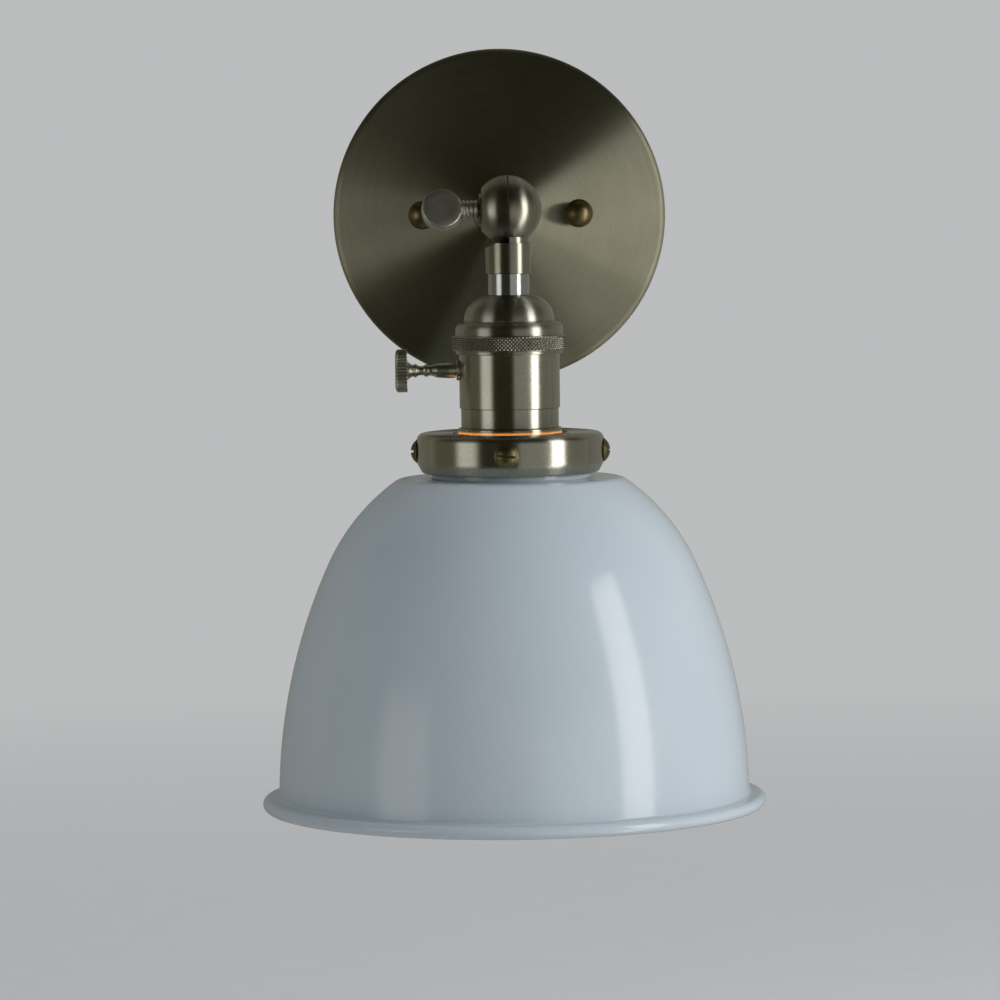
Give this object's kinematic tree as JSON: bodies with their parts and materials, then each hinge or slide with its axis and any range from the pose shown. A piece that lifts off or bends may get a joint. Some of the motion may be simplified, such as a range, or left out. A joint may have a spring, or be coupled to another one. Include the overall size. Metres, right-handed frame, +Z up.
{
  "type": "wall reading lamp",
  "caption": "Wall reading lamp: round brass canopy, arm with a tilting ball knuckle and thumb screw, keyed lamp socket, screw-held shade holder and enamelled bell shade.",
  "frame": {"origin": "centre of the canopy on the wall plane, where the crossbar's wall slots are centred", "axes": "+Z up, +Y into the wall (the lamp stands out towards -Y), +X to the right seen from the room"},
  "size_m": [0.181, 0.181, 0.2801],
  "materials": {
    "canopy_antique_brass": "spun and brushed antique brass",
    "knuckle_brass": "satin antique brass",
    "tube_brass": "brighter satin antique brass",
    "cap_brass": "satin antique brass with a knurled band",
    "shell_brass": "satin antique brass, brushed lengthwise",
    "holder_brass": "satin antique brass, turned",
    "thumb_screw_brass": "satin antique brass",
    "key_brass": "satin antique brass with a coarse knurl",
    "aged_bronze": "darker aged brass",
    "plain_brass": "plain turned brass",
    "zinc_steel": "zinc plated",
    "green_screw": "green",
    "dark_fibre": "dark fibre",
    "brown_phenolic": "moulded",
    "shade_enamel": "glossy pale enamel",
    "bulb_glass": "clear glass",
    "bulb_metal": "bright nickel plate",
    "filament_wire": "wire"
  },
  "bodies": {
    "wall_bracket": {"canopy": "canopy_antique_brass", "crossbar": "zinc_steel", "crossbar_studs": "zinc_steel", "stud_locknuts": "zinc_steel", "cap_nuts": "aged_bronze", "ground_screw": "green_screw", "arm_nipple": "plain_brass", "arm_locknut": "plain_brass", "arm_lock_washer": "zinc_steel", "arm_tube": "tube_brass", "knuckle_rear_half": "knuckle_brass", "friction_washer": "dark_fibre"},
    "lamp_head": {"knuckle_front_half": "knuckle_brass", "head_nipple": "plain_brass", "stem_tube": "tube_brass", "socket_cap": "cap_brass", "socket_shell": "shell_brass", "socket_skirt": "shell_brass", "insulating_liner": "dark_fibre", "socket_core": "brown_phenolic", "switch_block": "brown_phenolic", "switch_bushing": "key_brass", "screw_shell": "plain_brass", "centre_contact": "plain_brass", "terminal_screws": "plain_brass", "shade_holder": "holder_brass", "holder_lock_ring": "plain_brass", "holder_screws": "aged_bronze", "shade": "shade_enamel", "bulb_base": "bulb_metal", "bulb_glass": "bulb_glass", "bulb_stem": "bulb_glass", "filament": "filament_wire"},
    "clamp_screw": {"thumb_screw": "thumb_screw_brass"},
    "key": {"switch_key": "key_brass"}
  },
  "joints": [
    {"name": "head_tilt", "type": "hinge", "parent": "wall_bracket", "child": "lamp_head", "pos_m": [0, -0.098, 0], "axis": [-1, 0, 0], "range_deg": [0, 176]},
    {"name": "thumb_screw_turn", "type": "hinge", "parent": "lamp_head", "child": "clamp_screw", "pos_m": [0, -0.098, 0], "axis": [-1, 0, 0], "range_deg": [-30, 720]},
    {"name": "switch_key_turn", "type": "hinge", "parent": "lamp_head", "child": "key", "pos_m": [0, -0.096, -0.05717], "axis": [-1, 0, 0], "continuous": true}
  ]
}
